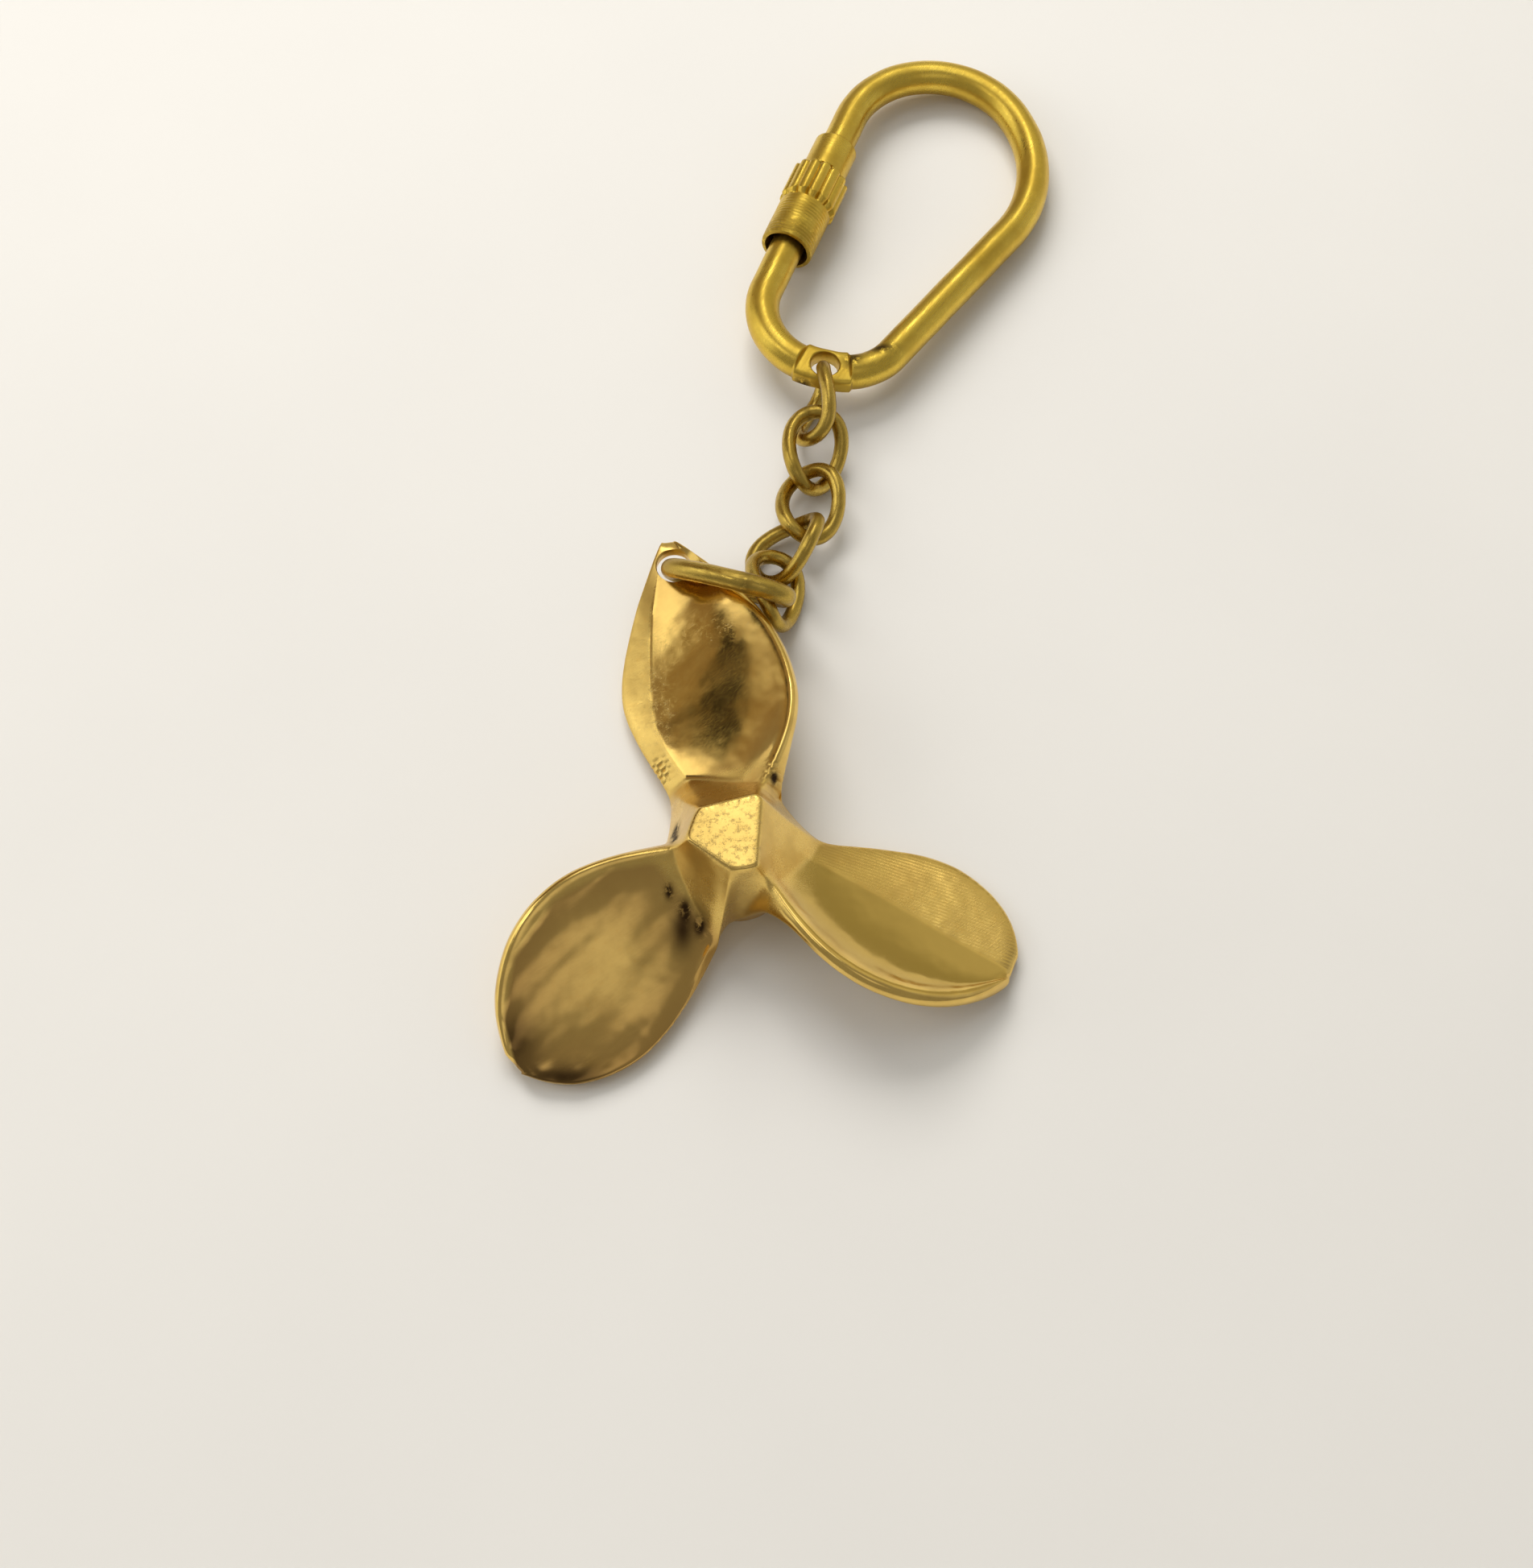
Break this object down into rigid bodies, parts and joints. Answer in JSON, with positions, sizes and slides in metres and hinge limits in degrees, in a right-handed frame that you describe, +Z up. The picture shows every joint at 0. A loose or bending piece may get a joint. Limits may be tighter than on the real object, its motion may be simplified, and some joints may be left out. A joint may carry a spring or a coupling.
{
  "type": "propeller key chain",
  "caption": "Key chain with a small cast ship's propeller, a jump ring, a chain of twisted oval links and a pear-shaped key ring closed by a sliding sleeve.",
  "frame": {"origin": "on the propeller's axis, at the flat foot of the hub, which is the plane the key chain lies on", "axes": "+Z up along the propeller's axis, away from the surface it lies on; +Y from the propeller towards the key ring; +X to the right seen from above"},
  "size_m": [0.0495, 0.1044, 0.01],
  "materials": {
    "propeller_brass": "polished casting with worn hollows",
    "jump_ring_brass": "worn satin",
    "link_5_brass": "worn satin",
    "link_4_brass": "worn satin",
    "link_3_brass": "worn satin",
    "link_2_brass": "worn satin",
    "link_1_brass": "worn satin",
    "key_ring_brass": "worn satin",
    "sleeve_brass": "turned satin"
  },
  "bodies": {
    "propeller": {"propeller": "propeller_brass"},
    "jump_ring": {"jump_ring": "jump_ring_brass"},
    "link_5": {"link_5": "link_5_brass"},
    "link_4": {"link_4": "link_4_brass"},
    "link_3": {"link_3": "link_3_brass"},
    "link_2": {"link_2": "link_2_brass"},
    "link_1": {"link_1": "link_1_brass"},
    "key_ring": {"key_ring": "key_ring_brass"},
    "sleeve": {"sleeve": "sleeve_brass"}
  },
  "joints": [
    {"name": "jump_ring_swing", "type": "hinge", "parent": "propeller", "child": "jump_ring", "pos_m": [-0.0056, 0.0275, 0.0027], "axis": [-0.9689, 0.156, 0.192], "range_deg": [-6, 44]},
    {"name": "link_5_swing", "type": "hinge", "parent": "jump_ring", "child": "link_5", "pos_m": [0.00288, 0.02517, 0.0039], "axis": [-0.5619, -0.8268, 0.025], "range_deg": [-40, 14]},
    {"name": "link_4_swing", "type": "hinge", "parent": "link_5", "child": "link_4", "pos_m": [0.00379, 0.0294, 0.00146], "axis": [-0.6992, -0.2351, 0.6752], "range_deg": [-30, 38]},
    {"name": "link_3_swing", "type": "hinge", "parent": "link_4", "child": "link_3", "pos_m": [0.00667, 0.03277, 0.00246], "axis": [-0.564, 0.038, -0.8249], "range_deg": [-50, 50]},
    {"name": "link_2_swing", "type": "hinge", "parent": "link_3", "child": "link_2", "pos_m": [0.00645, 0.03658, 0.00179], "axis": [-0.4499, -0.049, 0.8917], "range_deg": [-45, 35]},
    {"name": "link_1_swing", "type": "hinge", "parent": "link_2", "child": "link_1", "pos_m": [0.00731, 0.0437, 0.00334], "axis": [0.8401, -0.021, -0.5421], "range_deg": [-50, 50]},
    {"name": "key_ring_swing", "type": "hinge", "parent": "link_1", "child": "key_ring", "pos_m": [0.00796, 0.04825, 0.003], "axis": [0.047, -0.12, 0.9917], "range_deg": [-6, 44]},
    {"name": "sleeve_slide", "type": "slide", "parent": "key_ring", "child": "sleeve", "axis": [0.3673, 0.9296, -0.0287], "range_m": [0, 0.0045]}
  ]
}
